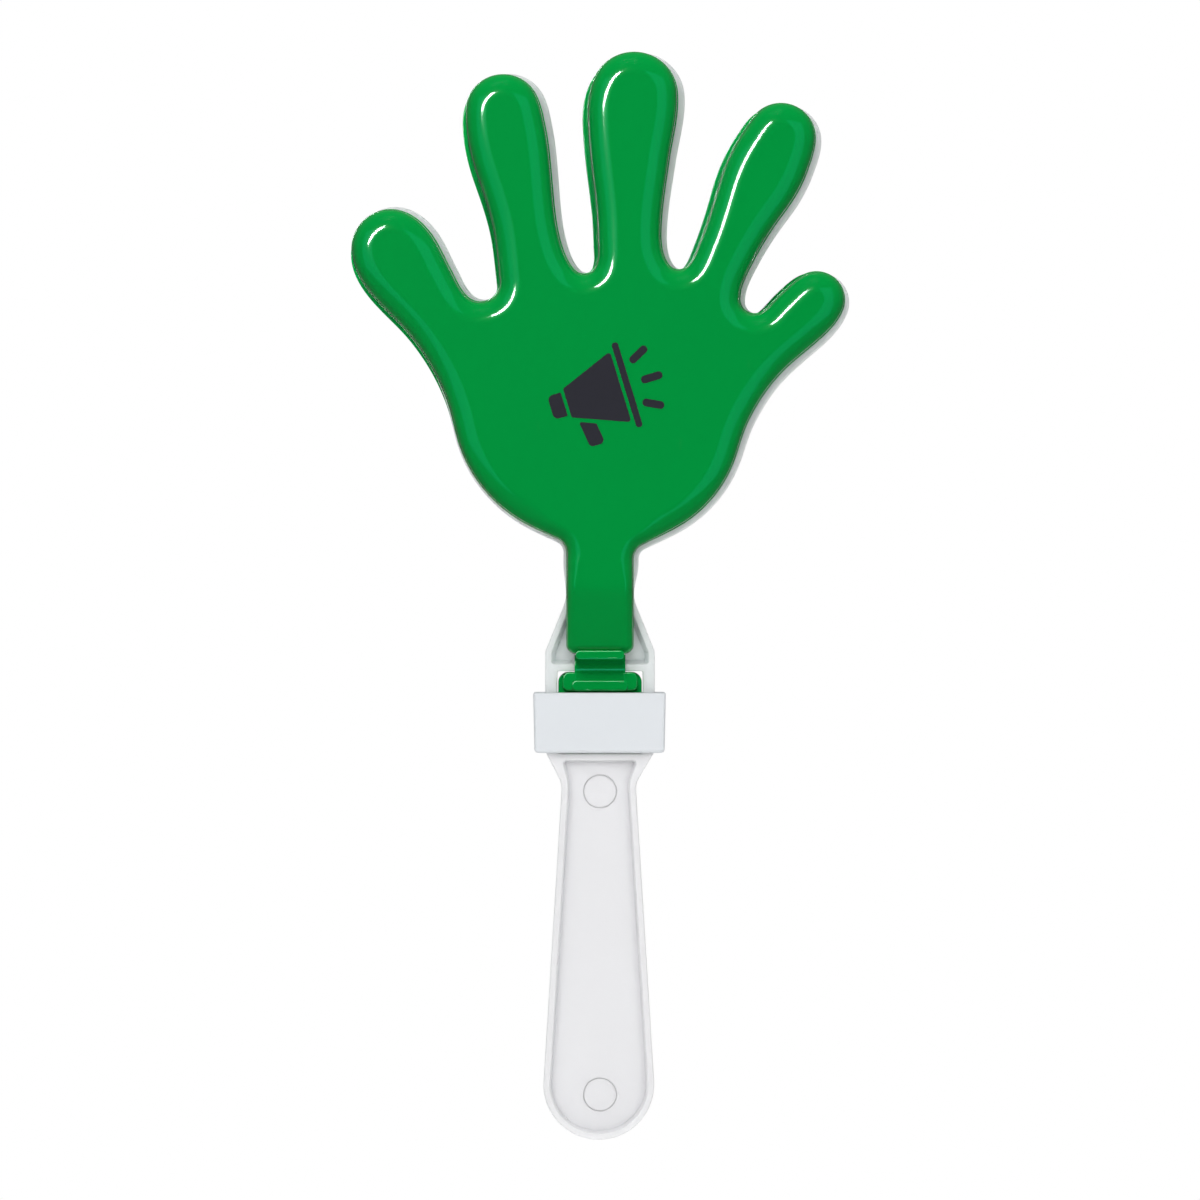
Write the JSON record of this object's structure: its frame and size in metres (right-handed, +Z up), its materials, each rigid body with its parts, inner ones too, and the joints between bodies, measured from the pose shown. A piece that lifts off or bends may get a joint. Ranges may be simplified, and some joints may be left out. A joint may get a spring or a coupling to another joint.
{
  "type": "hand clapper",
  "caption": "Hand-shaped party clapper: a handle that ends in a hand, with green outer hands on living hinges that swing in and clap against it.",
  "frame": {"origin": "the middle of the grip, halfway through its thickness", "axes": "+Z up along the handle to the fingertips, +X to the right as seen from the front, +Y to the back; the front hand faces -Y"},
  "size_m": [0.1277, 0.0312, 0.2783],
  "materials": {
    "white_plastic": "satin moulded white",
    "collar_plastic": "satin moulded white",
    "green_plastic": "glossy moulded green"
  },
  "bodies": {
    "handle": {"handle": "white_plastic", "collar": "collar_plastic", "front_hinge_foot": "green_plastic", "front_hinge_strap": "green_plastic", "back_hinge_foot": "green_plastic", "back_hinge_strap": "green_plastic"},
    "front_hand": {"front_hand": "green_plastic"},
    "back_hand": {"back_hand": "green_plastic"}
  },
  "joints": [
    {"name": "front_hand_hinge", "type": "hinge", "parent": "handle", "child": "front_hand", "pos_m": [0, -0.00425, 0.07225], "axis": [1, 0, 0], "range_deg": [-1.5, 58.5], "stiffness_Nm_per_rad": 0.06, "springref_deg": -0.86, "deforming": ["front_hinge_strap"]},
    {"name": "back_hand_hinge", "type": "hinge", "parent": "handle", "child": "back_hand", "pos_m": [0, 0.00425, 0.07225], "axis": [-1, 0, 0], "range_deg": [-1.5, 58.5], "stiffness_Nm_per_rad": 0.06, "springref_deg": -0.86, "deforming": ["back_hinge_strap"]}
  ]
}
